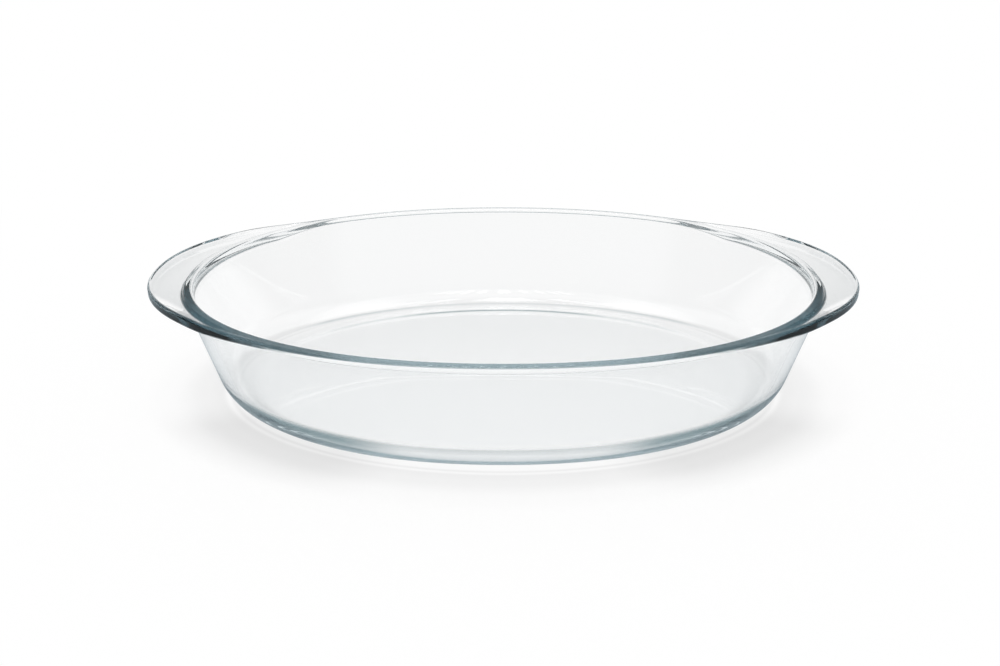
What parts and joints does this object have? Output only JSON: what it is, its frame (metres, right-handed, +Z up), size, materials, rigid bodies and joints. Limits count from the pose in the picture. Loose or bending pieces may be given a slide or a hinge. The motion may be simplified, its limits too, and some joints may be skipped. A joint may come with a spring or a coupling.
{
  "type": "oval baking dish",
  "caption": "Oval clear-glass baking dish with flared walls, a raised lip round the mouth and an upturned crescent grip at each end, standing on a flat base.",
  "frame": {"origin": "on the table, under the middle of the dish", "axes": "+X along the dish towards one handle, +Y across it, +Z up"},
  "size_m": [0.35, 0.24, 0.0615],
  "materials": {
    "clear_glass": "clear, fire-polished"
  },
  "bodies": {
    "root": {"glass_dish": "clear_glass"}
  },
  "joints": []
}
